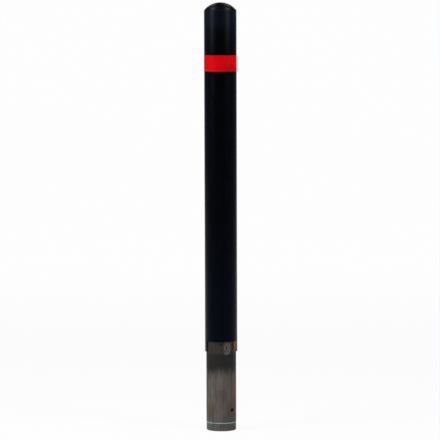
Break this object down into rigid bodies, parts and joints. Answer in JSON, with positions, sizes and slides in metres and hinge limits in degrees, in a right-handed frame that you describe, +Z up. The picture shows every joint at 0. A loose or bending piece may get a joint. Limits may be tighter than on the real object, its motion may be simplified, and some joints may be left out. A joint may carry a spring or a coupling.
{
  "type": "retractable bollard",
  "caption": "Tall round post: a black domed sleeve with a red reflective band telescopes down over a bare steel mast, with a key lock in a notch.",
  "frame": {"origin": "centre of the foot's underside", "axes": "+Z up along the post, front of the post (lock notch) toward -Y, +X to its right seen from the front"},
  "size_m": [0.1022, 0.1022, 1.345],
  "materials": {
    "sleeve_paint": "black powder coat",
    "reflective_red": "red retroreflective tape",
    "bare_steel": "bare drawn steel, greasy and lightly rusted",
    "lock_steel": "ground steel lock plate",
    "plated_steel": "zinc plated steel",
    "black_screws": "blackened steel",
    "pale_ring": "pale blue-grey nylon",
    "nylon": "natural nylon",
    "seal_rubber": "black rubber",
    "bronze": "tarnished bronze",
    "lock_brass": "worn plated brass",
    "spring_paint": "black lacquered cylinder",
    "rod_chrome": "hard chrome"
  },
  "bodies": {
    "mast": {"ground_tube": "bare_steel", "foot_plug": "bare_steel", "foot_ring": "pale_ring", "foot_screws": "plated_steel", "slide_bush": "nylon", "slide_bush_screws": "plated_steel", "spring_seat": "plated_steel", "spring_seat_screws": "plated_steel", "spring_nut": "plated_steel", "gas_spring_cylinder": "spring_paint", "rod_gland": "lock_brass", "lock_housing": "plated_steel", "lock_housing_screws": "black_screws", "lock_plate": "lock_steel", "lock_plate_screws": "lock_steel", "bolt_guide": "plated_steel", "bolt_guide_screws": "plated_steel"},
    "sleeve": {"sleeve_tube": "sleeve_paint", "dome_cap": "sleeve_paint", "cap_sealing_ring": "seal_rubber", "cap_screws": "black_screws", "reflective_band": "reflective_red", "crosshead": "plated_steel", "crosshead_screws": "black_screws", "buffer_ring": "seal_rubber", "rod_nuts": "plated_steel", "gas_spring_rod": "rod_chrome", "gas_spring_piston": "plated_steel", "piston_ring": "seal_rubber", "guide_key": "plated_steel", "guide_key_screws": "black_screws", "wear_band": "nylon", "notch_guide_pad": "bronze"},
    "lock_barrel": {"lock_barrel": "lock_brass", "lock_cam": "plated_steel"},
    "lock_bolt": {"lock_bolt": "plated_steel"}
  },
  "joints": [
    {"name": "sleeve_slide", "type": "slide", "parent": "mast", "child": "sleeve", "axis": [0, 0, 1], "range_m": [-0.22, 0], "stiffness_N_per_m": 160, "springref_m": 0.8125},
    {"name": "key_turn", "type": "hinge", "parent": "mast", "child": "lock_barrel", "pos_m": [0.01719, -0.04256, 0.2625], "axis": [-0.3746, 0.9272, 0], "range_deg": [0, 90]},
    {"name": "bolt_throw", "type": "slide", "parent": "mast", "child": "lock_bolt", "axis": [0.9272, 0.3746, 0], "range_m": [0, 0.01131]}
  ],
  "couplings": [
    {"joint": "key_turn", "follows": "bolt_throw", "rad_per_m": 138.84}
  ]
}
